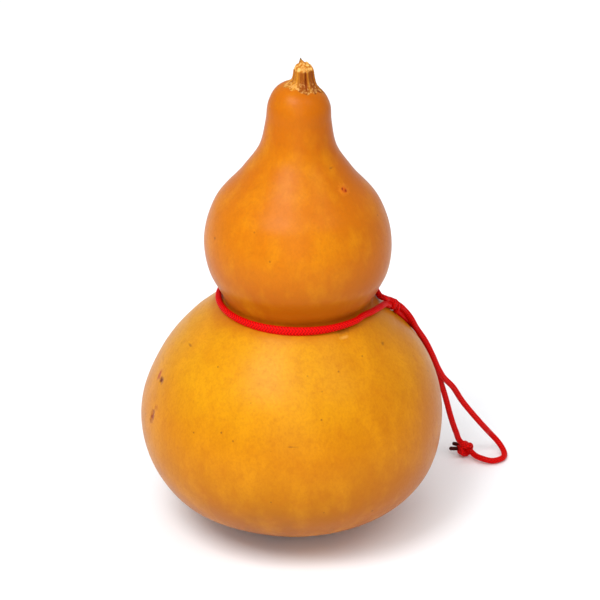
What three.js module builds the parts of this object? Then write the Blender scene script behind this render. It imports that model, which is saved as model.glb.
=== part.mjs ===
// A dried bottle gourd standing on its base, with a red cord tied round its waist.
// Millimetres, +Z up, origin at the centre of the flat base.
import * as THREE from "three";

// gourd
const BASE_RADIUS = 21;
const CROWN_HEIGHT = 212;
const CROWN_RADIUS = 9.4;
const PROFILE = [ // radius, height
  [BASE_RADIUS, 0], [31, 4], [47.5, 12], [64, 30], [69.4, 55], [61.3, 80], [47.2, 98],
  [38.4, 107], [33.4, 112], [35.9, 117.5], [40.3, 126], [42.1, 140], [37.7, 156], [24.9, 172],
  [17.1, 184], [14.5, 196], [13.6, 205], [CROWN_RADIUS, CROWN_HEIGHT],
];
const NECK_LEAN = 3; // sideways shift of everything above the waist
const LEAN_FROM = 97;
const LEAN_TO = 113;
const GOURD_ROWS = 52;
const GOURD_SIDES = 48;

// stem
const STEM_HEIGHT = 10;
const STEM_COLLAR_RADIUS = 7.8;
const STEM_RADIUS = 4.3;
const STEM_CENTRE = 5; // to the right of the base's centre
const STEM_RIBS = 7;
const STEM_RIB_DEPTH = 0.07;
const STEM_SLANT = 0.35; // rise of the broken top per millimetre to the left

// cord
const CORD_DIAMETER = 3;
const CORD_SIDES = 8;
const CORD_STEP = 7;
const GAP = 0.3; // clearance between neighbouring solids
const RING_RADIUS = 36.2;
const RING_HEIGHT = 112.8;
const RING_START = -44; // degrees, where the front strand settles in the waist
const RING_END = -304; // and where the back strand leaves it again
const RING_POINTS = 40;
const FRONT_STRAND = [[35.6, -16.4, 112.2], [39.2, -9.4, 111.0], [41.6, -2.6, 109.6]];
const BACK_STRAND = [[30.2, 26.0, 112.6], [36.4, 20.6, 111.0], [40.8, 15.2, 109.2]];
const KNOT_CENTRE = [45.6, 7.8, 105.5];
const KNOT_SIZE = [2.6, 4, 2.6];
const END_KNOT_CENTRE = [84.2, 52.4, 4.2];
const END_KNOT_SIZE = [4.4, 4.4, 3.6];

// points along each loose length of cord, from the waist knot to the end knot
const SHORT_LEG = [
  [48.2, 13.8, 99.8], [50.0, 16.6, 95.8], [52.4, 19.2, 91.6], [54.8, 21.6, 87.8], [57.1, 23.8, 84.0],
  [60.9, 27.2, 76.6], [64.8, 30.2, 67.3], [67.3, 32.8, 59.4], [69.5, 35.4, 51.8], [72.1, 38.4, 42.8],
  [73.8, 41.0, 36.0], [76.3, 44.7, 25.6], [79.2, 48.5, 15.8], [82.2, 51.5, 8.3],
];
const LONG_LEG = [
  [49.0, 10.4, 99.8], [50.8, 13.2, 96.0], [53.2, 15.8, 91.9], [55.6, 18.2, 88.0], [58.0, 20.4, 84.2],
  [61.8, 23.8, 77.0], [65.7, 26.8, 67.6], [68.5, 29.2, 60.0], [71.0, 31.8, 54.4], [76.2, 37.4, 46.1],
  [81.3, 42.9, 35.6], [87.5, 47.2, 25.6], [93.7, 52.5, 15.8], [96.9, 58.2, 9.6],
  [100.5, 58.4, 5.3], [102.7, 56.0, 2.8], [103.5, 51.8, 1.6], [101.8, 47.4, 1.7],
  [96.7, 44.7, 1.9], [92.0, 45.8, 2.6], [88.3, 49.3, 2.9],
];
const TAIL_UPPER = [[80.4, 56.4, 4.7], [79.4, 57.2, 4.6], [78.0, 58.0, 4.4]];
const TAIL_LOWER = [[79.0, 53.2, 3.2], [77.8, 53.6, 3.1], [76.2, 54.0, 3.0]];
const TAIL_DIAMETER = 2.6;

const group = new THREE.Group();

function material(name, color, roughness) {
  const made = new THREE.MeshStandardMaterial({ color, roughness, metalness: 0 });
  made.name = name;
  return made;
}

const gourdSkin = material("gourd_skin", "#e8921f", 0.35);
const stemWood = material("stem_wood", "#c49a5a", 0.8);
const redCord = material("red_cord", "#d21c14", 0.55);
const sealedTip = material("sealed_tip", "#4a1410", 0.6);

function addPart(name, geometry, partMaterial) {
  const mesh = new THREE.Mesh(geometry, partMaterial);
  mesh.name = name;
  group.add(mesh);
}

// sideways shift of the fruit's axis at a height
function leanAt(height) {
  return NECK_LEAN * THREE.MathUtils.smoothstep(height, LEAN_FROM, LEAN_TO);
}

// a profile of [radius, height] pairs turned about +Z
function turned(profile, sides) {
  const points = profile.map(([radius, height]) => new THREE.Vector2(radius, height));
  return new THREE.LatheGeometry(points, sides).rotateX(Math.PI / 2);
}

// moves every vertex with a function that changes the vector it is given
function reshape(geometry, change) {
  const position = geometry.attributes.position;
  const vertex = new THREE.Vector3();
  for (let i = 0; i < position.count; i += 1) {
    vertex.fromBufferAttribute(position, i);
    change(vertex);
    position.setXYZ(i, vertex.x, vertex.y, vertex.z);
  }
  geometry.computeVertexNormals();
  return geometry;
}

function gourd() {
  const stations = PROFILE.map(([radius, height]) => new THREE.Vector3(radius, height, 0));
  const outline = new THREE.CatmullRomCurve3(stations, false, "centripetal");
  const rows = outline.getSpacedPoints(GOURD_ROWS).map((point) => [point.x, point.y]);
  const geometry = turned([[0, 0], ...rows, [0, CROWN_HEIGHT]], GOURD_SIDES);
  return reshape(geometry, (vertex) => {
    vertex.x += leanAt(vertex.z);
  });
}

function stem() {
  const foot = CROWN_HEIGHT + GAP;
  const geometry = turned([
    [0, foot],
    [STEM_COLLAR_RADIUS, foot],
    [STEM_COLLAR_RADIUS * 0.95, foot + 0.7],
    [STEM_RADIUS * 1.3, foot + 2.4],
    [STEM_RADIUS * 1.1, foot + 5],
    [STEM_RADIUS, foot + STEM_HEIGHT],
    [0, foot + STEM_HEIGHT],
  ], 42);
  return reshape(geometry, (vertex) => {
    const rib = 1 + STEM_RIB_DEPTH * Math.cos(STEM_RIBS * Math.atan2(vertex.y, vertex.x));
    const rise = (vertex.z - foot) / STEM_HEIGHT;
    vertex.x *= rib;
    vertex.y *= rib;
    vertex.z -= STEM_SLANT * vertex.x * rise;
    vertex.x += STEM_CENTRE;
  });
}

// round cord swept along a curve
function cordTube(curve, diameter) {
  const section = new THREE.Shape();
  for (let i = 0; i < CORD_SIDES; i += 1) {
    const angle = (2 * Math.PI * i) / CORD_SIDES;
    const x = (diameter / 2) * Math.cos(angle);
    const y = (diameter / 2) * Math.sin(angle);
    if (i === 0) section.moveTo(x, y);
    else section.lineTo(x, y);
  }
  section.closePath();
  const steps = Math.max(3, Math.round(curve.getLength() / CORD_STEP));
  return new THREE.ExtrudeGeometry(section, { steps, extrudePath: curve, bevelEnabled: false });
}

function through(points) {
  return new THREE.CatmullRomCurve3(points.map((point) => new THREE.Vector3(...point)));
}

function waistCord() {
  const ring = [];
  for (let i = 0; i <= RING_POINTS; i += 1) {
    const degrees = RING_START + ((RING_END - RING_START) * i) / RING_POINTS;
    const angle = THREE.MathUtils.degToRad(degrees);
    const x = leanAt(RING_HEIGHT) + RING_RADIUS * Math.cos(angle);
    ring.push([x, RING_RADIUS * Math.sin(angle), RING_HEIGHT]);
  }
  return cordTube(through([...FRONT_STRAND.toReversed(), ...ring, ...BACK_STRAND]), CORD_DIAMETER);
}

// a rounded lump with twisted lobes, the outside of a pulled-tight knot
function knotLump(centre, size, lobes, twist) {
  const geometry = reshape(new THREE.SphereGeometry(1, 28, 18), (vertex) => {
    const swell = 1 + 0.1 * Math.cos(lobes * Math.atan2(vertex.z, vertex.x) + twist * vertex.y);
    vertex.set(vertex.x * size[0] * swell, vertex.y * size[1], vertex.z * size[2] * swell);
  });
  return geometry.translate(...centre);
}

addPart("gourd", gourd(), gourdSkin);
addPart("stem", stem(), stemWood);
addPart("waist_cord", waistCord(), redCord);
addPart("waist_knot", knotLump(KNOT_CENTRE, KNOT_SIZE, 2, 1.5), redCord);
addPart("short_leg", cordTube(through(SHORT_LEG), CORD_DIAMETER), redCord);
addPart("long_leg", cordTube(through(LONG_LEG), CORD_DIAMETER), redCord);
addPart("end_knot", knotLump(END_KNOT_CENTRE, END_KNOT_SIZE, 3, 1.2), redCord);
addPart("tail_upper", cordTube(through(TAIL_UPPER), TAIL_DIAMETER), sealedTip);
addPart("tail_lower", cordTube(through(TAIL_LOWER), TAIL_DIAMETER), sealedTip);

export default group;
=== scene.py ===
# A dried bottle gourd with a red braided cord round its waist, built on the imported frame.
# Metres, +Z up, the gourd's base centre at the origin, -Y towards the viewer.
import bpy
import numpy as np
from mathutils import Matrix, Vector


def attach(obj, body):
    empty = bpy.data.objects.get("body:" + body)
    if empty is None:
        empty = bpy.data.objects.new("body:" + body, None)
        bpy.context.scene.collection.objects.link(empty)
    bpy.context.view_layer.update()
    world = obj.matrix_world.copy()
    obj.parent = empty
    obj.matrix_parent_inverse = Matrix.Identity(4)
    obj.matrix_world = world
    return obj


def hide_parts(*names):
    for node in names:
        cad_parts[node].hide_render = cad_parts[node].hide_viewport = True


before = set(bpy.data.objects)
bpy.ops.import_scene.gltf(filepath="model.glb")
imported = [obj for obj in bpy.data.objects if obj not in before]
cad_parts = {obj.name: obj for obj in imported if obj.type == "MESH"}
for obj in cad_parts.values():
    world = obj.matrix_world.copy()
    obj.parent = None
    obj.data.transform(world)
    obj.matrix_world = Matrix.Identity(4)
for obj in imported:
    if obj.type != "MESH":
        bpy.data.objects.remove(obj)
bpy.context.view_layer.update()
print("stage: frame loaded")

mm = 0.001
scene = bpy.context.scene
scene.view_settings.view_transform = "Standard"  # plain studio colours, no film curve


def linearColour(hexCode, alpha=1.0):
    # sRGB hex to linear: c/12.92 below 0.04045, else ((c + 0.055) / 1.055) to the power 2.4
    channels = np.array([int(hexCode[i:i + 2], 16) for i in (1, 3, 5)]) / 255
    linear = np.where(channels <= 0.04045, channels / 12.92, ((channels + 0.055) / 1.055) ** 2.4)
    return (*linear.tolist(), alpha)


def addNode(tree, kind, sockets, **settings):
    # sockets maps an input's name or number to a value or to another node's output
    node = tree.nodes.new(kind)
    for name, value in settings.items():
        setattr(node, name, value)
    for name, value in sockets.items():
        if isinstance(value, bpy.types.NodeSocket):
            tree.links.new(value, node.inputs[name])
        else:
            node.inputs[name].default_value = value
    return node


def unit(vectors):
    # each row divided by its length
    return vectors / np.maximum(np.linalg.norm(vectors, axis=-1, keepdims=True), 1e-12)


def smoothStep(low, high, values):
    # 0 below low, 1 above high, 3t^2 - 2t^3 between
    t = np.clip((values - low) / (high - low), 0, 1)
    return t * t * (3 - 2 * t)


def smoothCurve(points, spacing):
    # Hermite curve through the points, its slope at each the distance-weighted mean of the
    # slopes on both sides, then cut into equal steps of about the spacing
    points = np.asarray(points, float)
    stretch = np.linalg.norm(np.diff(points, axis=0), axis=1)
    knots = np.concatenate([[0], np.cumsum(stretch)])
    slopes = np.diff(points, axis=0) / stretch[:, None]
    tangents = np.vstack([slopes[:1], np.zeros((len(points) - 2, points.shape[1])), slopes[-1:]])
    ahead, behind = stretch[1:, None], stretch[:-1, None]
    tangents[1:-1] = (slopes[:-1] * ahead + slopes[1:] * behind) / (ahead + behind)
    at = np.linspace(0, knots[-1], int(knots[-1] / spacing) * 4 + 8)
    i = np.clip(np.searchsorted(knots, at, side="right") - 1, 0, len(stretch) - 1)
    t = ((at - knots[i]) / stretch[i])[:, None]
    h = stretch[i][:, None]
    fine = ((2 * t**3 - 3 * t**2 + 1) * points[i] + (t**3 - 2 * t**2 + t) * h * tangents[i]
            + (3 * t**2 - 2 * t**3) * points[i + 1] + (t**3 - t**2) * h * tangents[i + 1])
    return evenSteps(fine, spacing)


def lengthsAlong(points):
    # distance travelled at each point
    return np.concatenate([[0], np.cumsum(np.linalg.norm(np.diff(points, axis=0), axis=1))])


def evenSteps(points, spacing):
    # the same line with its points at equal distances
    travelled = lengthsAlong(points)
    wanted = np.linspace(0, travelled[-1], max(3, int(round(travelled[-1] / spacing)) + 1))
    return np.stack([np.interp(wanted, travelled, column) for column in points.T], axis=1)


def relax(points, rounds):
    # each inner point moves halfway to the mean of its neighbours, the ends stay
    points = points.copy()
    for _ in range(rounds):
        points[1:-1] += 0.5 * ((points[:-2] + points[2:]) / 2 - points[1:-1])
    return points


def meshObject(name, vertices, faces, uv=None, attributes=None, smooth=True):
    # a mesh from whole arrays, with one value of each attribute per vertex
    mesh = bpy.data.meshes.new(name)
    mesh.from_pydata(vertices.tolist(), [], [tuple(face) for face in faces])
    for key, values in (attributes or {}).items():
        layer = mesh.attributes.new(key, "FLOAT", "POINT")
        layer.data.foreach_set("value", np.asarray(values, np.float32).ravel())
    if uv is not None:
        corner = np.empty(len(mesh.loops), np.int32)
        mesh.loops.foreach_get("vertex_index", corner)
        layer = mesh.uv_layers.new(name="along")
        layer.data.foreach_set("uv", uv[corner].astype(np.float32).ravel())
    mesh.polygons.foreach_set("use_smooth", [smooth] * len(mesh.polygons))
    mesh.update()
    made = bpy.data.objects.new(name, mesh)
    scene.collection.objects.link(made)
    return made


def gridFaces(rows, columns):
    # quads of a grid whose columns close into a ring, wound so that rows going up with
    # columns going anticlockwise face outwards
    row, column = np.meshgrid(np.arange(rows - 1), np.arange(columns), indexing="ij")
    after = (column + 1) % columns
    quads = np.stack([row * columns + column, row * columns + after,
                      (row + 1) * columns + after, (row + 1) * columns + column], axis=-1)
    return quads.reshape(-1, 4).tolist()


def poleFaces(ringStart, columns, pole, facesUp):
    # triangles from a ring to one closing point
    first = ringStart + np.arange(columns)
    second = ringStart + (np.arange(columns) + 1) % columns
    order = (first, second) if facesUp else (second, first)
    return np.stack([*order, np.full(columns, pole)], axis=1).tolist()


# camera
viewer = {
    "elevation": 25.0,  # degrees above the floor
    "distance": 1.13,
    "lens": 150.0,
    "aim": (3.5 * mm, 0.0, 109 * mm),
}


def makeCamera():
    tilt = np.radians(viewer["elevation"])
    camera = bpy.data.objects.new("camera", bpy.data.cameras.new("camera"))
    scene.collection.objects.link(camera)
    camera.data.lens = viewer["lens"]
    camera.data.sensor_width = 36
    camera.data.clip_end = 20
    aim = np.array(viewer["aim"])
    camera.location = aim + viewer["distance"] * np.array([0, -np.cos(tilt), np.sin(tilt)])
    camera.rotation_euler = (np.pi / 2 - tilt, 0, 0)
    scene.camera = camera


makeCamera()
print("stage: camera")


# the gourd's own form
gourdForm = {
    # height and radius of the fruit, and how far its axis leans to the right there
    "profile": [
        (0, 19, 0), (1.2, 23.8, 0), (4, 30.2, 0), (8, 38.8, -0.1), (12, 45.8, -0.3),
        (20, 57.2, -0.4), (30, 64.3, -0.1), (55, 69.4, 0.1),
        (80, 61.3, 0), (98, 47.2, 0.2), (107, 38.2, 2.0), (111.6, 33.6, 3.0), (117, 35.9, 3.4),
        (126, 40.3, 3.2), (140, 42.1, 2.7), (156, 37.7, 2.5), (172, 24.9, 2.6), (184, 17.1, 2.8),
        (196, 14.5, 3.0), (204, 13.5, 3.2), (208.6, 11.0, 3.3), (211.4, 7.5, 3.3), (212.4, 4, 3.3),
    ],
    "rows": 250,
    "columns": 380,
    "unevenness": 0.5,  # mm, slow swells that make it grown rather than turned
    "swellOrders": 6,
    "crown": (198 * mm, 212 * mm),  # heights between which the crown tilts
    "crownRise": (0.5 * mm, 0.09),  # on its axis, and the share lost for each length to the right
    "dimple": (0.1, 0.25, 0.5, 0.75),  # rings of the blossom end, share of the flat base's radius
    "dimpleDepth": 1.1 * mm,
    "seed": 7,
}

heights, radii, leans = (np.array(column) * mm for column in zip(*gourdForm["profile"]))
profileLine = smoothCurve(np.stack([radii, heights], axis=1), 0.4 * mm)


def leanAt(z):
    # the axis's sideways shift, straight between the profile's heights
    return np.interp(z, heights, leans)


def crownLift(sideways, z):
    # the crown stands a little higher on its left than on its right
    rise, tilt = gourdForm["crownRise"]
    return smoothStep(*gourdForm["crown"], z) * (rise - tilt * sideways)


def clearOfGourd(points, clearance):
    # points nearer the skin than the clearance move straight out from it
    points = points.copy()
    for _ in range(3):
        sideways = np.stack([points[:, 0] - leanAt(points[:, 2]), points[:, 1]], axis=1)
        reach = np.linalg.norm(sideways, axis=1)
        here = np.stack([reach, points[:, 2]], axis=1)
        gaps = here[:, None, :] - profileLine[None, :, :]
        nearest = np.argmin((gaps**2).sum(axis=2), axis=1)
        slope = np.gradient(profileLine, axis=0)[nearest]
        outwards = unit(np.stack([slope[:, 1], -slope[:, 0]], axis=1))
        depth = ((here - profileLine[nearest]) * outwards).sum(axis=1)
        push = np.maximum(clearance - depth, 0)[:, None] * outwards
        points[:, :2] += unit(sideways) * push[:, :1]
        points[:, 2] += push[:, 1]
    return points


# cord
cordLook = {
    "diameter": 2.9 * mm,
    "sides": 40,
    "step": 0.3 * mm,
    "strands": 8,  # braided strands running each way round
    "lead": 11 * mm,  # length in which one strand goes once round
    "relief": 0.15,  # of the radius
    "edge": 0.35,  # how gradually one strand dips under the next
    "slack": 6,  # rounds of smoothing once the cord lies clear of the skin
}
waist = {
    "centre": (2.9 * mm, 0.0),
    "radius": 36.2 * mm,
    "height": 111.4 * mm,
    "sag": 0.8 * mm,  # in front and behind
    "from": -44.0,  # degrees, where the front strand settles in the waist
    "to": -338.0,  # and where the back strand leaves it again
    "pressed": (-95.0, 36.0, 0.46),  # degrees, degrees to either side, share taller than round
    "clearance": 0.48,  # of the cord's diameter, from its middle to the skin
    "points": 120,
}
# mm, from the crease in front to the knot, and from the crease behind to the knot
frontStrand = [
    (30.6, -22.5, 111.2), (35.2, -16.3, 110.6), (38.3, -10.6, 109.8), (40.4, -5.8, 108.9),
    (41.3, -2.2, 107.7),
]
backStrand = [(37.8, 7.9, 109.9), (39.2, 3.9, 109.4)]
# mm, middle of the two twisted strands, over the shoulder
knotAxis = [
    (42.1, 1.4, 107.7), (43.4, 3.7, 106.1), (45.5, 7.1, 104.0), (47.2, 9.9, 101.2),
    (49.1, 12.3, 98.6), (50.6, 14.3, 96.1), (52.4, 16.3, 93.2), (54.4, 18.2, 90.0),
    (56.0, 20.0, 87.0), (57.6, 22.0, 84.2),
]
# mm, the two loose lengths from the waist knot to the end knot
shortLeg = [
    (57.1, 23.8, 84.0), (60.9, 27.2, 76.6), (64.8, 30.2, 67.3), (67.3, 32.8, 59.4), (69.5, 35.4, 51.8),
    (72.1, 38.4, 42.8), (73.8, 41.0, 36.0), (76.3, 44.7, 25.6), (79.2, 48.5, 15.8), (82.2, 51.5, 8.3),
]
longLeg = [
    (58.0, 20.4, 84.2), (61.8, 23.8, 77.0), (65.7, 26.8, 67.6), (68.5, 29.2, 60.0), (71.0, 31.8, 54.4),
    (76.2, 37.4, 46.1), (81.3, 42.9, 35.6), (87.5, 47.2, 25.6), (93.7, 52.5, 15.8), (96.9, 58.2, 9.6),
    (100.5, 58.4, 5.3), (102.7, 56.0, 2.8), (103.5, 51.8, 1.6), (101.8, 47.4, 1.7), (96.7, 44.7, 1.9),
    (92.0, 45.8, 2.6), (88.3, 49.3, 2.9),
]
waistKnot = {
    "start": 215.0,  # degrees round the axis at which the front strand comes in
    "delay": 2.5 * mm,  # before the twist starts
    "twist": 415.0,  # degrees the two strands turn round each other in the knot
    "length": 13 * mm,
    "untwist": 90.0,  # and then, from one on top of the other to side by side
    "spread": 0.47,  # of the diameter, from the middle to each strand
}
endKnot = {
    "centre": (84.2, 52.6, 4.3),
    "along": (-0.75, 0.66, 0.0),  # from the legs to the tails
    "wraps": 1.6,
    "pitch": 2.7 * mm,
    "spread": 0.86,  # of the diameter, from the core to the wrapped strand
    "points": 60,
    # mm from the centre, the core from where it goes in to where it comes out
    "core": [(3.0, -2.2, -0.7), (0.0, 0.0, 0.0), (-2.6, 1.6, -0.4)],
    "startAngle": 0.3,  # radians past the top
}
tails = {
    "upper": [(81.4, 55.6, 4.6), (80.0, 56.6, 4.7), (78.2, 57.8, 4.5)],
    "lower": [(80.6, 53.7, 3.9), (78.6, 53.6, 3.8), (76.4, 54.0, 3.7)],
    "sealed": 4.2 * mm,  # length melted hard at each end
    "thickness": 0.68,  # of the cord
}


def twistedPair():
    # two strands turn about their shared axis: at distance s the first stands at the angle
    # start + twist * (s - delay) / length, measured from the level side direction towards the skin's
    # outward normal, then eases into lying side by side; the second is opposite
    axis = smoothCurve(np.array(knotAxis) * mm, cordLook["step"])
    travelled = lengthsAlong(axis)
    ahead = unit(np.gradient(axis, axis=0))
    outFromAxis = axis * (1, 1, 0)
    level = unit(np.cross((0.0, 0.0, 1.0), outFromAxis))
    level = unit(level - ahead * (level * ahead).sum(axis=1, keepdims=True))
    outward = unit(np.cross(ahead, level))
    outward *= np.sign(outward[:, :1])
    quick = smoothStep(0, 1, (travelled - waistKnot["delay"]) / waistKnot["length"])
    slow = smoothStep(1.3 * waistKnot["length"], travelled[-1], travelled)
    angle = waistKnot["start"] + waistKnot["twist"] * quick + waistKnot["untwist"] * slow
    angle = np.radians(angle)[:, None]
    swing = np.cos(angle) * level + np.sin(angle) * outward
    reach = waistKnot["spread"] * cordLook["diameter"]
    return axis + reach * swing, axis - reach * swing


def waistRing():
    # a circle lying in the crease
    angle = np.radians(np.linspace(waist["from"], waist["to"], waist["points"]))
    return np.stack([waist["centre"][0] + waist["radius"] * np.cos(angle),
                     waist["centre"][1] + waist["radius"] * np.sin(angle),
                     waist["height"] - waist["sag"] * np.sin(angle)**2], axis=1)


def endWraps():
    # a helix of the short leg's end round the long leg's end: centre + along * pitch * turns
    # + spread * (cos(angle) * side + sin(angle) * up)
    along = unit(np.array(endKnot["along"]))
    side = np.cross(along, (0, 0, 1))
    turns = np.linspace(0, endKnot["wraps"], endKnot["points"])[:, None]
    angle = np.pi / 2 + endKnot["startAngle"] - 2 * np.pi * turns
    reach = endKnot["spread"] * cordLook["diameter"]
    start = np.array(endKnot["centre"]) * mm - along * endKnot["pitch"] * endKnot["wraps"] * 0.5
    return start + along * endKnot["pitch"] * turns + reach * (np.cos(angle) * side
                                                              + np.sin(angle) * np.array([0, 0, 1]))


def masterCord():
    # one line from one sealed end to the other, and the distances at which it is cut
    first, second = twistedPair()
    core = (np.array(endKnot["centre"]) + np.array(endKnot["core"])) * mm
    pieces = [
        ("tailUpper", np.array(tails["upper"])[::-1] * mm),
        ("endKnotShort", endWraps()[::-1]),
        ("shortLeg", np.array(shortLeg)[:0:-1] * mm),
        ("knotFirst", first[:-8:4][::-1]),
        ("front", np.array(frontStrand)[::-1] * mm),
        ("ring", waistRing()),
        ("back", np.array(backStrand) * mm),
        ("knotSecond", second[:-8:4]),
        ("longLeg", np.array(longLeg)[1:] * mm),
        ("endKnotLong", core),
        ("tailLower", np.array(tails["lower"]) * mm),
    ]
    points = np.vstack([part for _, part in pieces])
    line = smoothCurve(points, cordLook["step"])
    owner = {name: (part[0], part[-1]) for name, part in pieces}
    travelled = lengthsAlong(line)

    def distanceOf(point):
        return travelled[np.argmin(np.linalg.norm(line - point, axis=1))]

    return line, {name: tuple(distanceOf(point) for point in ends) for name, ends in owner.items()}


def braid(angle, distance):
    # regular braid: two sets of strands cross at +-lead, each set on top along its own
    # columns; height is |cos| across the strand on top, blended over the column's edge
    count = cordLook["strands"]
    slant = 2 * np.pi * distance / cordLook["lead"]
    rising, falling = count * (angle + slant), count * (angle - slant)
    onTop = smoothStep(-cordLook["edge"], cordLook["edge"], np.cos(count * angle / 2))
    return onTop * np.abs(np.cos(rising / 2)) + (1 - onTop) * np.abs(np.cos(falling / 2))


def cordTube(name, line, startDistance, side, radius, roundEnds=(False, False), tall=0.0):
    # rings of points around the line: line + radius * (1 + relief * braid) * (cos, sin) on
    # two directions square to it, found from one fixed side direction; where the cord is
    # pressed its section is (1 + tall) high and (1 - tall / 5) thick
    ahead = unit(np.gradient(line, axis=0))
    across = unit(np.cross(ahead, np.array(side, float)))
    other = np.cross(ahead, across)
    sides = cordLook["sides"]
    angle = np.arange(sides) * 2 * np.pi / sides
    distance = startDistance + lengthsAlong(line)
    height = braid(angle[None, :], distance[:, None])
    thick = radius * (1 - cordLook["relief"] * (1 - height))
    inside = np.ones(len(line))
    for atEnd, rounded in zip((0, -1), roundEnds):
        if rounded:
            fromEnd = np.abs(distance - distance[atEnd])
            inside *= np.sqrt(np.clip(1 - (1 - np.clip(fromEnd / radius, 0, 1))**2, 0.02, 1))
    thick = thick * inside[:, None]
    tall = np.broadcast_to(tall, (len(line),))[:, None, None]
    ring = line[:, None, :] + thick[..., None] * (
        (1 - tall / 5) * np.cos(angle)[None, :, None] * across[:, None, :]
        + (1 + tall) * np.sin(angle)[None, :, None] * other[:, None, :])
    rows = len(line)
    vertices = np.vstack([ring.reshape(-1, 3), line[:1], line[-1:]])
    faces = gridFaces(rows, sides)
    faces += poleFaces(0, sides, rows * sides, False)
    faces += poleFaces((rows - 1) * sides, sides, rows * sides + 1, True)
    uv = np.stack([np.broadcast_to(angle[None, :] / (2 * np.pi), height.shape).ravel(),
                   np.broadcast_to(distance[:, None], height.shape).ravel()], axis=1)
    uv = np.vstack([uv, [[0, distance[0]], [0, distance[-1]]]])
    shade = np.concatenate([height.ravel(), [0.6, 0.6]])
    return meshObject(name, vertices, faces, uv, {"braidHeight": shade})


def joined(name, tubes):
    # several tubes as one piece
    bpy.ops.object.select_all(action="DESELECT")
    for tube in tubes:
        tube.select_set(True)
    bpy.context.view_layer.objects.active = tubes[0]
    bpy.ops.object.join()
    tubes[0].name = name
    tubes[0].data.name = name
    return tubes[0]


def makeCords():
    line, cuts = masterCord()
    travelled = lengthsAlong(line)
    tieStart, tieEnd = cuts["knotFirst"][0], cuts["knotSecond"][1]
    onSkin = (travelled > tieStart) & (travelled < tieEnd)
    line[onSkin] = clearOfGourd(line[onSkin], waist["clearance"] * cordLook["diameter"])
    line = relax(line, cordLook["slack"])
    travelled = lengthsAlong(line)
    radius = cordLook["diameter"] / 2

    def stretch(start, end):
        return (travelled >= start - 1e-9) & (travelled <= end + 1e-9)

    where, width, most = waist["pressed"]
    around = np.degrees(np.arctan2(line[:, 1] - waist["centre"][1], line[:, 0] - waist["centre"][0]))
    pressed = most * np.exp(-((around - where) / width)**2)

    def tube(name, start, end, side, thickness=radius, roundEnds=(False, False), press=0.0):
        chosen = stretch(start, end)
        return cordTube(name, line[chosen], travelled[chosen][0], side, thickness, roundEnds,
                        press * pressed[chosen])

    tailLength = tails["sealed"]
    total = travelled[-1]
    legSide, endSide = (-0.64, 0.76, 0.1), (0.1, 0.2, 1.0)
    tipRadius = radius * tails["thickness"]
    tie = tube("waist_tie", tieStart, tieEnd, (0.25, 0.0, 1.0), press=1.0)
    shortPiece = tube("short_leg_cord", cuts["shortLeg"][0], tieStart, legSide)
    longPiece = tube("long_leg_cord", tieEnd, cuts["longLeg"][1], (0.5, 0.3, 0.9))
    knot = joined("tied_end_knot", [
        tube("wraps", tailLength, cuts["shortLeg"][0], endSide),
        tube("core", cuts["longLeg"][1], total - tailLength, endSide),
    ])
    upperTip = tube("sealed_tip_upper", 0, tailLength, endSide, tipRadius, (True, False))
    lowerTip = tube("sealed_tip_lower", total - tailLength, total, endSide, tipRadius, (False, True))
    for piece, nodes, slotName in (
        (tie, ("waist_cord", "waist_knot"), "red_cord"),
        (shortPiece, ("short_leg",), "red_cord"),
        (longPiece, ("long_leg",), "red_cord"),
        (knot, ("end_knot",), "red_cord"),
        (upperTip, ("tail_upper",), "sealed_tip"),
        (lowerTip, ("tail_lower",), "sealed_tip"),
    ):
        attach(piece, "root")
        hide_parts(*nodes)

    shortPath = line[stretch(cuts["shortLeg"][0], tieStart)][::-1]
    longPath = line[stretch(tieEnd, cuts["longLeg"][1])]
    for piece, path, others in ((shortPiece, shortPath, (knot, upperTip, lowerTip)),
                                (longPiece, longPath, (knot,))):
        print("cord:", piece.name, round(float(lengthsAlong(path)[-1]) / mm), "mm")
    return [tie, shortPiece, longPiece, knot], [upperTip, lowerTip]


redCords, sealedTips = makeCords()
print("stage: cords")


# gourd
# angle (degrees, -90 is the front), height mm, width mm, tallness mm, rise mm (minus is a dent)
skinMarks = [
    (-40.5, 170.0, 1.8, 1.5, 0.4), (-40.5, 170.0, 0.7, 0.7, -0.5), (-43, 178.7, 1.4, 0.8, -0.25),
    (-162, 78.0, 0.8, 1.0, -0.35), (-158.3, 63.2, 1.0, 2.2, -0.35), (-57, 106.0, 2.2, 1.6, -0.25),
    (-95, 30, 16, 9, -0.5), (-30, 128, 14, 10, 0.4), (60, 60, 22, 14, -0.8), (150, 90, 18, 12, 0.6),
    (110, 150, 12, 9, -0.5), (20, 40, 18, 10, 0.5), (-140, 100, 12, 8, 0.3),
]


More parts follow.
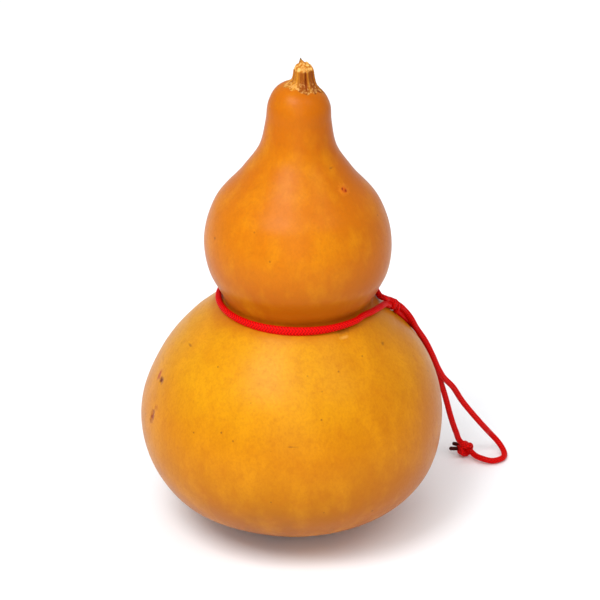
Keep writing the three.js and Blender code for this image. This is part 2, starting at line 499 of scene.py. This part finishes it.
def makeGourd():
    # the profile carried round its leaning axis, swollen by slow waves and pushed in or out
    # at each mark by a bell shape of the distance to it
    rows, columns = gourdForm["rows"], gourdForm["columns"]
    line = evenSteps(profileLine, lengthsAlong(profileLine)[-1] / (rows - 1))
    angle = np.arange(columns) * 2 * np.pi / columns
    reach, z = line[:, :1], line[:, 1:]
    random = np.random.default_rng(gourdForm["seed"])
    swell = np.zeros((rows, columns))
    for order in range(1, gourdForm["swellOrders"] + 1):
        turn, lift = random.uniform(0, 2 * np.pi, 2)
        waves = np.sin(order * angle[None, :] + turn + 8 * np.sin(z / 0.07 + lift) / order)
        swell += waves * random.uniform(0.4, 1.0) / order**1.3
    swell *= gourdForm["unevenness"] * mm * np.minimum(reach / 0.04, 1) * smoothStep(0, 14 * mm, z)
    for degrees, height, width, tall, rise in skinMarks:
        around = (angle[None, :] - np.radians(degrees) + np.pi) % (2 * np.pi) - np.pi
        distance = (around * reach / (width * mm))**2 + ((z - height * mm) / (tall * mm))**2
        swell += rise * mm * np.exp(-distance)
    slope = np.gradient(line, axis=0)
    outwards = unit(np.stack([slope[:, 1], -slope[:, 0]], axis=1))
    wide = reach + swell * outwards[:, :1]
    tall = z + swell * outwards[:, 1:]
    tall = np.where(z < 1e-6, 0, np.maximum(tall, 0)) + crownLift(wide * np.cos(angle), z)
    vertices = np.stack([leanAt(z) + wide * np.cos(angle), wide * np.sin(angle), tall], axis=-1)
    # the blossom end: a shallow dimple closed by one point
    dimple = np.array(gourdForm["dimple"])[:, None]
    floorRadius = line[0, 0]
    inner = np.stack([leanAt(0) + floorRadius * dimple * np.cos(angle),
                      floorRadius * dimple * np.sin(angle),
                      gourdForm["dimpleDepth"] * (1 - dimple**2) + 0 * angle], axis=-1)
    vertices = np.vstack([inner.reshape(-1, 3), vertices.reshape(-1, 3)])
    rows += len(dimple)
    top = vertices[-columns:].mean(axis=0) + np.array([0, 0, 0.15 * mm])
    bottom = np.array([leanAt(0), 0, 1.15 * mm])
    vertices = np.vstack([vertices, bottom, top])
    faces = gridFaces(rows, columns)
    faces += poleFaces(0, columns, rows * columns, False)
    faces += poleFaces((rows - 1) * columns, columns, rows * columns + 1, True)
    gourd = meshObject("gourd_fruit", vertices, faces)
    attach(gourd, "root")
    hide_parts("gourd")
    return gourd


gourd = makeGourd()
print("stage: gourd")


# stem
stemForm = {
    "centre": 5.1 * mm,  # to the right of the base's centre
    # radius and height above the crown, mm
    "profile": [(8.7, -0.35), (8.2, -0.02), (7.3, 0.2), (6.3, 0.6), (5.4, 1.4), (4.8, 2.9), (4.45, 4.9),
                (4.2, 6.6), (3.8, 7.4)],
    "ribs": 6,
    "ribDepth": 0.045,
    "furrow": (281.0, 0.06, 0.16),  # degrees round, half width in radians, share of the radius deep
    "fibre": (-1.5, 0.6, 0.55, 1.9),  # mm from the centre, half width and how far it stands up
    "mound": (-0.2, 0.6, 2.9, 2.4),  # the same for the torn wood under it
    "rows": 110,
    "columns": 220,
    "faceRings": 16,
    "seed": 3,
}


def skinUnderStem(x, y):
    # height of the crown's skin below a place on the stem
    crown = profileLine[profileLine[:, 1] > 200 * mm][::-1]
    sideways = x - leanAt(crown[0, 1])
    z = np.interp(np.hypot(sideways, y), crown[:, 0], crown[:, 1])
    return z + crownLift(sideways, z)


def makeStem():
    # a profile carried round with shallow ribs and one deep furrow, its foot following the
    # crown's skin in uneven fingers, its top torn off level with rough fibres
    rows, columns, rings = stemForm["rows"], stemForm["columns"], stemForm["faceRings"]
    line = smoothCurve(np.array(stemForm["profile"]) * mm, 0.05 * mm)
    line = evenSteps(line, lengthsAlong(line)[-1] / (rows - 1))
    angle = (np.arange(columns) * 2 * np.pi / columns)[None, :]
    reach, above = line[:, :1], line[:, 1:]
    up = np.linspace(0, 1, rows)[:, None]
    random = np.random.default_rng(stemForm["seed"])
    ribs = stemForm["ribs"]
    wave = np.cos(ribs * angle + 0.5 + 0.8 * up) + 0.5 * np.cos((2 * ribs + 1) * angle + 2 + 1.5 * up)
    fine = sum(np.sin(count * angle + random.uniform(0, 6.3) + 2 * up) / 4 for count in (17, 23, 31, 41))
    degrees, narrow, depth = stemForm["furrow"]
    furrow = np.exp(-(((angle - np.radians(degrees)) / narrow)**2)) * smoothStep(0.15, 0.45, up)
    fingers = (0.1 * np.cos(angle + 2.0) + 0.09 * np.cos(5 * angle + 0.9)
               + 0.06 * np.cos(9 * angle + 1.1) + 0.05 * np.cos(14 * angle))
    wide = reach * (1 + stemForm["ribDepth"] * wave * smoothStep(0.1, 0.4, up) + 0.015 * fine - depth * furrow
                    + fingers * (1 - smoothStep(0, 0.45, up)))
    x = stemForm["centre"] + wide * np.cos(angle)
    y = wide * np.sin(angle)
    ground = skinUnderStem(x, y)
    level = skinUnderStem(stemForm["centre"], 0.0)
    share = smoothStep(0.25, 0.7, up)
    z = ground * (1 - share) + level * share + above
    torn = sum(np.sin(count * angle + random.uniform(0, 6.3)) / count**0.5 for count in (3, 7, 12, 19, 27))
    z = z + smoothStep(0.85, 1.0, up) * torn * 0.22 * mm
    # the torn face: rings shrinking to the middle, rough with fibres
    inward = np.linspace(0.96, 0.06, rings)[:, None]
    faceX = stemForm["centre"] + (x[-1:] - stemForm["centre"]) * inward
    faceY = y[-1:] * inward
    rough = sum(np.sin((faceX * random.normal() + faceY * random.normal()) * 2 * np.pi / (size * mm)
                       + random.uniform(0, 6.3)) * size for size in (1.1, 1.5, 2.1, 2.9, 3.7)) * 0.06 * mm

    def swelling(sideways, behind, wide, tall):
        away = np.hypot(faceX - stemForm["centre"] - sideways * mm, faceY - behind * mm)
        return tall * mm * np.exp(-(away / (wide * mm))**2)

    fibre = swelling(*stemForm["fibre"])
    faceZ = (z[-1:] * inward + (level + above[-1] + 0.5 * mm) * (1 - inward) + rough * (1 - inward**6)
             + fibre + swelling(*stemForm["mound"]))
    body = np.stack([x, y, z], axis=-1).reshape(-1, 3)
    face = np.stack([faceX, faceY, faceZ], axis=-1).reshape(-1, 3)
    vertices = np.vstack([body, face, [[stemForm["centre"], 0, level - 2 * mm]],
                          face[-columns:].mean(axis=0, keepdims=True)])
    total = rows + rings
    faces = gridFaces(total, columns)
    faces += poleFaces(0, columns, total * columns, False)
    faces += poleFaces((total - 1) * columns, columns, total * columns + 1, True)
    onFace = len(face)
    inFibre = fibre.ravel() / fibre.max()
    # painted shade: the side turned to the right is coloured darker
    shadeOnRight = smoothStep(-0.3, 0.8, np.cos(angle + 0.7)) * (1 + 0 * up)
    looks = {
        "ridge": np.concatenate([(0.4 * wave + 0.5 * fine - 2.6 * furrow - 0.9 * shadeOnRight).ravel(),
                                 np.zeros(onFace), [0, 0]]),
        "upTheStem": np.concatenate([np.broadcast_to(up, wave.shape).ravel(), np.ones(onFace), [0, 1]]),
        "torn": np.concatenate([np.broadcast_to(smoothStep(0.86, 0.97, up + 0.03 * torn), wave.shape).ravel(),
                                np.ones(onFace), [0, 1]]),
        "fibre": np.concatenate([np.zeros(len(body)), inFibre, [0, 0]]),
    }
    stem = meshObject("stem_stub", vertices, faces, None, looks)
    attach(stem, "root")
    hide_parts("stem")
    return stem


stem = makeStem()
print("stage: stem")


# materials
gourdSkin = {
    # the base colour, darker towards the bottom, is painted shade on the underside
    "base": "#904c02",
    # blended in going up: height mm from, height mm to, colour; the band from 62 to 90 mm, lighter and
    # yellower, is a painted highlight where the key light falls on the lower bulb
    "bands": [
        # the darker band from 104 to 112 mm is painted shade in the waist crease under the upper bulb
        (8, 66, "#c27a02"), (62, 90, "#cd8d05"), (104, 112, "#a24a02"), (113, 146, "#c26c02"),
        (150, 190, "#b65e01"),
    ],
    # painted shade: the right side, where less light falls, made redder and darker: degrees round, cosine
    # from and to, share at most, colour
    "paintedShadeSide": (-10.0, 0.1, 1.0, 0.36, "#a44c02"),
    # patch width mm, stretch up the fruit, noise from, noise to, share at most, colour
    "layers": [
        (38, 1.0, 0.42, 0.72, 0.36, "#b96a06"),
        (14, 0.6, 0.46, 0.75, 0.40, "#dc940a"),
        (6, 0.7, 0.50, 0.75, 0.28, "#b05e04"),
        (2.4, 0.8, 0.48, 0.75, 0.26, "#a45806"),
        (1.0, 0.8, 0.42, 0.75, 0.32, "#a45a08"),
    ],
    "fleck": "#5f3410",
    # degrees round, height mm, half width mm, half height mm, share, colour
    "marks": [
        (-40.5, 170.0, 3.4, 3.0, 0.4, "#e08420"), (-40.5, 170.0, 1.9, 1.6, 0.65, "#b03c04"),
        (-42, 170.5, 0.8, 0.7, 0.9, "#801c02"), (-39, 169.5, 0.8, 0.7, 0.9, "#801c02"),
        (-43, 178.7, 1.5, 0.5, 0.5, "#6b3a12"),
        (-166.5, 78.4, 2.0, 2.9, 0.9, "#a02c04"), (-162, 78.0, 2.6, 1.7, 0.95, "#621a02"),
        (-158.3, 63.0, 2.2, 3.7, 0.9, "#7e2404"), (-157.3, 67.7, 2.2, 1.3, 0.5, "#9a4206"),
        # the brown patch at -57 degrees and 108.2 mm, under the cord's lower edge, is painted shadow of the
        # cord
        (-157.5, 95.6, 2.6, 0.5, 0.5, "#6b3a12"), (-57, 108.2, 4.6, 1.4, 0.55, "#7a4206"),
        (-57, 106.0, 2.4, 0.7, 0.4, "#e0a850"), (-31, 99.0, 1.2, 0.9, 0.6, "#6a4010"),
        (-78, 79.5, 0.5, 0.5, 0.7, "#5f3410"), (-118.6, 71.5, 0.5, 0.5, 0.7, "#5f3410"),
        (-90, 69.1, 2.6, 0.3, 0.6, "#5f3410"), (-131, 67.8, 0.5, 0.4, 0.7, "#5f3410"),
        (-66, 95.6, 0.7, 0.5, 0.6, "#5f3410"), (-57, 31.1, 0.8, 0.6, 0.6, "#5f3410"),
        (-153, 147.6, 0.8, 0.7, 0.6, "#5f3410"), (40, 60, 2.0, 0.6, 0.6, "#5f3410"),
        (95, 130, 0.8, 0.8, 0.7, "#5e1c0c"),
    ],
    "roughness": 0.35,
    "shine": 0.12,
    # dark flecks: one chance place every so many mm, colour number from and to for the few that
    # show, distance from and to over which one fades, share
    "flecks": (8, 0.62, 0.66, 0.02, 0.08, 0.6),
    "raggedSize": 1.3,  # mm, of the unevenness on the edges of the marks
    # strength, depth mm
    "poreBump": (0.15, 0.12),
    "slowBump": (0.15, 0.5),
    "slowSize": 5,  # mm
}
cordFinish = {
    # the low colour, in the braid's gaps between strands, is painted shade
    "high": "#e60503", "low": "#7c0201",
    "heights": (0.15, 0.95),  # braid heights at which the low colour ends and the high one begins
    "roughness": 0.5,
    "shine": 0.1,
}
stemFinish = {
    "ridge": "#c07c1c", "groove": "#7c3404", "torn": "#e0ae60", "stain": "#b06a1a",
    "patch": "#dca458", "fibre": "#3c2a1a",
    "grainSize": 0.6,  # mm
    "lumpSize": 1.2,  # mm
    "grainBump": (0.5, 0.25),  # strength, depth mm
    "roughness": 0.6,
    "shine": 0.1,
}
tipFinish = {
    "dark": "#2c0302", "light": "#4c0604",
    "patchSize": 1.2,  # mm
    "bump": (0.4, 0.2),  # strength, depth mm
    "roughness": 0.42,
    "shine": 0.1,
}


def newMaterial(name):
    material = bpy.data.materials.new(name)
    material.use_nodes = True
    material.node_tree.nodes.clear()
    return material, material.node_tree


def finish(tree, shader):
    addNode(tree, "ShaderNodeOutputMaterial", {"Surface": shader.outputs["BSDF"]})


def blend(tree, share, first, second):
    # the first colour where share is 0, the second where it is 1
    return addNode(tree, "ShaderNodeMix", {0: share, 6: first, 7: second}, data_type="RGBA").outputs[2]


def polishedGourdRind():
    # dried gourd rind, scraped, polished by hand and left with a thin clear finish: waxy
    # orange with slow blotches, fine mottling, pores and a few scars
    material, tree = newMaterial("polished_gourd_rind")
    place = addNode(tree, "ShaderNodeTexCoord", {}).outputs["Object"]
    height = addNode(tree, "ShaderNodeSeparateXYZ", {0: place}).outputs["Z"]
    colour = linearColour(gourdSkin["base"])
    # colours by height, with painted shade towards the base and in the waist crease and a painted highlight
    # on the lower bulb's shoulder
    for low, high, tint in gourdSkin["bands"]:
        share = addNode(tree, "ShaderNodeMapRange", {0: height, 1: low * mm, 2: high * mm},
                        interpolation_type="SMOOTHSTEP").outputs[0]
        colour = blend(tree, share, colour, linearColour(tint))
    # painted shade: redder and darker towards the right side
    degrees, low, high, most, tint = gourdSkin["paintedShadeSide"]
    towards = (np.cos(np.radians(degrees)), np.sin(np.radians(degrees)), 0)
    level = addNode(tree, "ShaderNodeMapping", {"Vector": place, "Scale": (1, 1, 0)}).outputs[0]
    outwards = addNode(tree, "ShaderNodeVectorMath", {0: level}, operation="NORMALIZE").outputs[0]
    facing = addNode(tree, "ShaderNodeVectorMath", {0: outwards, 1: towards},
                     operation="DOT_PRODUCT").outputs["Value"]
    share = addNode(tree, "ShaderNodeMapRange", {0: facing, 1: low, 2: high, 3: 0.0, 4: most},
                    interpolation_type="SMOOTHSTEP").outputs[0]
    colour = blend(tree, share, colour, linearColour(tint))
    for width, stretch, low, high, most, tint in gourdSkin["layers"]:
        spot = addNode(tree, "ShaderNodeMapping", {"Vector": place, "Scale": (1, 1, stretch)}).outputs[0]
        pores = addNode(tree, "ShaderNodeTexNoise", {"Vector": spot, "Scale": 1 / (width * mm), "Detail": 3.0,
                                                     "Roughness": 0.6}).outputs[0]
        share = addNode(tree, "ShaderNodeMapRange", {0: pores, 1: low, 2: high, 3: 0.0, 4: most}).outputs[0]
        colour = blend(tree, share, colour, linearColour(tint))
    every, rare, shown, solid, faded, most = gourdSkin["flecks"]
    cells = addNode(tree, "ShaderNodeTexVoronoi", {"Vector": place, "Scale": 1 / (every * mm)})
    split = addNode(tree, "ShaderNodeSeparateColor", {0: cells.outputs["Color"]})
    chosen = addNode(tree, "ShaderNodeMapRange", {0: split.outputs[0], 1: rare, 2: shown}).outputs[0]
    dot = addNode(tree, "ShaderNodeMapRange", {0: cells.outputs["Distance"], 1: solid, 2: faded,
                                               3: most, 4: 0.0})
    fleck = addNode(tree, "ShaderNodeMath", {0: dot.outputs[0], 1: chosen}, operation="MULTIPLY").outputs[0]
    colour = blend(tree, fleck, colour, linearColour(gourdSkin["fleck"]))
    ragged = addNode(tree, "ShaderNodeTexNoise", {
        "Vector": place, "Scale": 1 / (gourdSkin["raggedSize"] * mm), "Detail": 3.0})
    for degrees, up, wide, tall, most, tint in gourdSkin["marks"]:
        # distance from the mark's middle in half widths, its edge made ragged
        turn = np.radians(degrees)
        reach = np.interp(up * mm, profileLine[:, 1], profileLine[:, 0])
        centre = (leanAt(up * mm) + reach * np.cos(turn), reach * np.sin(turn), up * mm)
        local = addNode(tree, "ShaderNodeMapping", {
            "Vector": place, "Location": centre, "Rotation": (0, 0, turn),
            "Scale": (4 * mm, wide * mm, tall * mm)}, vector_type="TEXTURE").outputs[0]
        away = addNode(tree, "ShaderNodeVectorMath", {0: local}, operation="LENGTH").outputs["Value"]
        uneven = addNode(tree, "ShaderNodeMath", {0: ragged.outputs[0], 1: 1.6, 2: away},
                         operation="MULTIPLY_ADD").outputs[0]
        share = addNode(tree, "ShaderNodeMapRange", {0: uneven, 1: 1.15, 2: 1.9, 3: most, 4: 0.0}).outputs[0]
        colour = blend(tree, share, colour, linearColour(tint))
    rough = addNode(tree, "ShaderNodeMapRange", {0: pores, 1: 0.3, 2: 0.8, 3: gourdSkin["roughness"] - 0.05,
                                                 4: gourdSkin["roughness"] + 0.08}).outputs[0]
    strength, depth = gourdSkin["poreBump"]
    fineBump = addNode(tree, "ShaderNodeBump", {"Height": pores, "Strength": strength,
                                                "Distance": depth * mm})
    waves = addNode(tree, "ShaderNodeTexNoise", {
        "Vector": place, "Scale": 1 / (gourdSkin["slowSize"] * mm), "Detail": 3.0})
    strength, depth = gourdSkin["slowBump"]
    slowBump = addNode(tree, "ShaderNodeBump", {"Height": waves.outputs[0], "Strength": strength,
                                                "Distance": depth * mm, "Normal": fineBump.outputs[0]})
    finish(tree, addNode(tree, "ShaderNodeBsdfPrincipled", {
        "Base Color": colour, "Roughness": rough, "Normal": slowBump.outputs[0], "IOR": 1.45,
        "Specular IOR Level": gourdSkin["shine"],
    }))
    return material


def braidedNylon():
    # satin nylon knotting cord, braided: smooth along the strands, with painted shade between them
    material, tree = newMaterial("braided_satin_nylon")
    braidHeight = addNode(tree, "ShaderNodeAttribute", {}, attribute_name="braidHeight").outputs["Fac"]
    low, high = cordFinish["heights"]
    share = addNode(tree, "ShaderNodeMapRange", {0: braidHeight, 1: low, 2: high}).outputs[0]
    colour = blend(tree, share, linearColour(cordFinish["low"]), linearColour(cordFinish["high"]))
    finish(tree, addNode(tree, "ShaderNodeBsdfPrincipled", {
        "Base Color": colour, "Roughness": cordFinish["roughness"], "IOR": 1.4,
        "Specular IOR Level": cordFinish["shine"],
    }))
    return material


def meltedNylon():
    # cord end sealed in a flame: hard, dark and slightly glossy
    material, tree = newMaterial("flame_sealed_nylon")
    place = addNode(tree, "ShaderNodeTexCoord", {}).outputs["Object"]
    patches = addNode(tree, "ShaderNodeTexNoise", {
        "Vector": place, "Scale": 1 / (tipFinish["patchSize"] * mm), "Detail": 2.0}).outputs[0]
    colour = blend(tree, patches, linearColour(tipFinish["dark"]), linearColour(tipFinish["light"]))
    strength, depth = tipFinish["bump"]
    bump = addNode(tree, "ShaderNodeBump", {"Height": patches, "Strength": strength, "Distance": depth * mm})
    finish(tree, addNode(tree, "ShaderNodeBsdfPrincipled", {
        "Base Color": colour, "Roughness": tipFinish["roughness"],
        "Specular IOR Level": tipFinish["shine"], "Normal": bump.outputs[0],
    }))
    return material


def dryStemWood():
    # dried vine stem, left as it broke: brown ribs, a furrow, pale torn fibres on top and scraped patches
    # round the foot; the grooves, the furrow and the right side are darkened with painted shade on the stem's
    # own brown
    material, tree = newMaterial("dry_vine_stem")
    place = addNode(tree, "ShaderNodeTexCoord", {}).outputs["Object"]
    ridge, up, torn, fibre = (addNode(tree, "ShaderNodeAttribute", {}, attribute_name=name).outputs["Fac"]
                              for name in ("ridge", "upTheStem", "torn", "fibre"))
    longWays = addNode(tree, "ShaderNodeMapping", {"Vector": place, "Scale": (1, 1, 0.15)}).outputs[0]
    grain = addNode(tree, "ShaderNodeTexNoise", {
        "Vector": longWays, "Scale": 1 / (stemFinish["grainSize"] * mm), "Detail": 3.0}).outputs[0]
    lumps = addNode(tree, "ShaderNodeTexNoise", {
        "Vector": place, "Scale": 1 / (stemFinish["lumpSize"] * mm), "Detail": 3.0}).outputs[0]
    # towards the groove colour in the ribs' grooves, the furrow and on the right side: painted shade, with
    # the wood's own grain mixed in
    uneven = addNode(tree, "ShaderNodeMath", {0: ridge, 1: grain}, operation="ADD").outputs[0]
    share = addNode(tree, "ShaderNodeMapRange", {0: uneven, 1: -0.9, 2: 1.2}).outputs[0]
    colour = blend(tree, share, linearColour(stemFinish["groove"]), linearColour(stemFinish["ridge"]))
    # the foot's outer edge keeps the fruit's own colour
    skinShare = addNode(tree, "ShaderNodeMapRange", {0: up, 1: 0.02, 2: 0.10, 3: 1.0, 4: 0.0}).outputs[0]
    streaks = addNode(tree, "ShaderNodeMath", {0: ridge, 1: 0.06, 2: lumps},
                      operation="MULTIPLY_ADD").outputs[0]
    scraped = addNode(tree, "ShaderNodeMapRange", {0: streaks, 1: 0.42, 2: 0.62}).outputs[0]
    footShare = addNode(tree, "ShaderNodeMapRange", {0: up, 1: 0.52, 2: 0.3, 3: 0.0, 4: 0.72}).outputs[0]
    patch = addNode(tree, "ShaderNodeMath", {0: footShare, 1: scraped}, operation="MULTIPLY").outputs[0]
    colour = blend(tree, patch, colour, linearColour(stemFinish["patch"]))
    colour = blend(tree, skinShare, colour, linearColour(gourdSkin["bands"][-1][2]))
    tornShare = addNode(tree, "ShaderNodeMapRange", {0: lumps, 1: 0.42, 2: 0.62}).outputs[0]
    tornColour = blend(tree, tornShare, linearColour(stemFinish["stain"]), linearColour(stemFinish["torn"]))
    colour = blend(tree, torn, colour, tornColour)
    colour = blend(tree, fibre, colour, linearColour(stemFinish["fibre"]))
    strength, depth = stemFinish["grainBump"]
    bump = addNode(tree, "ShaderNodeBump", {"Height": grain, "Strength": strength, "Distance": depth * mm})
    finish(tree, addNode(tree, "ShaderNodeBsdfPrincipled", {
        "Base Color": colour, "Roughness": stemFinish["roughness"], "Normal": bump.outputs[0],
        "Specular IOR Level": stemFinish["shine"],
    }))
    return material


gourd.data.materials.append(polishedGourdRind())
stem.data.materials.append(dryStemWood())
redCordMaterial = braidedNylon()
for piece in redCords:
    piece.data.materials.append(redCordMaterial)
sealedMaterial = meltedNylon()
for piece in sealedTips:
    piece.data.materials.append(sealedMaterial)
print("stage: materials")


# floor and lights
studio = {
    "floor": "#fafcff",
    "sky": 0.60,
    "skyColour": "#ffffff",
    "floorHalf": 6.0,  # metres, from the middle to each edge
    "middle": (0.0, 0.0, 0.11),  # where the lamps are aimed
    # watts, degrees round, degrees up, metres away, metres wide
    "lamps": {
        "key": (7.4, -126, 52, 1.1, 0.5),
        "fill": (1.9, -40, 50, 1.2, 0.5),
        "overhead": (5.4, -98, 52, 1.4, 0.7),
        "front": (3.2, -92, 18, 1.5, 0.8),
    },
    # lights only the floor behind: watts, place, the floor it faces, metres wide
    "backdrop": (6.5, (0.0, 0.75, 1.3), (0.0, 2.2, 0.0), 0.8),
}


def makeFloor():
    half = studio["floorHalf"]
    corners = np.array([[-half, -half, 0], [half, -half, 0], [half, half, 0], [-half, half, 0]])
    floor = meshObject("floor", corners, [(0, 1, 2, 3)], smooth=False)
    material, tree = newMaterial("white_paper_floor")
    place = addNode(tree, "ShaderNodeTexCoord", {}).outputs["Object"]
    grain = addNode(tree, "ShaderNodeTexNoise", {"Vector": place, "Scale": 400.0}).outputs[0]
    bump = addNode(tree, "ShaderNodeBump", {"Height": grain, "Strength": 0.02, "Distance": 0.1 * mm})
    finish(tree, addNode(tree, "ShaderNodeBsdfPrincipled", {
        "Base Color": linearColour(studio["floor"]), "Roughness": 0.9, "Normal": bump.outputs[0],
    }))
    floor.data.materials.append(material)


def softBox(name, power, place, faces, size):
    lamp = bpy.data.lights.new(name, "AREA")
    lamp.energy = power
    lamp.shape = "SQUARE"
    lamp.size = size
    made = bpy.data.objects.new(name, lamp)
    scene.collection.objects.link(made)
    made.location = place
    made.rotation_euler = Vector(np.subtract(faces, place)).to_track_quat("-Z", "Y").to_euler()


def makeSky():
    world = bpy.data.worlds.new("studio")
    scene.world = world
    world.use_nodes = True
    backing = world.node_tree.nodes["Background"]
    backing.inputs["Color"].default_value = linearColour(studio["skyColour"])
    backing.inputs["Strength"].default_value = studio["sky"]


makeFloor()
gourdMiddle = np.array(studio["middle"])
for lampName, (watts, degreesRound, degreesUp, away, size) in studio["lamps"].items():
    around, up = np.radians(degreesRound), np.radians(degreesUp)
    towards = np.array([np.cos(up) * np.cos(around), np.cos(up) * np.sin(around), np.sin(up)])
    softBox(lampName, watts, gourdMiddle + away * towards, gourdMiddle, size)
softBox("backdrop", *studio["backdrop"])
makeSky()
print("stage: studio")
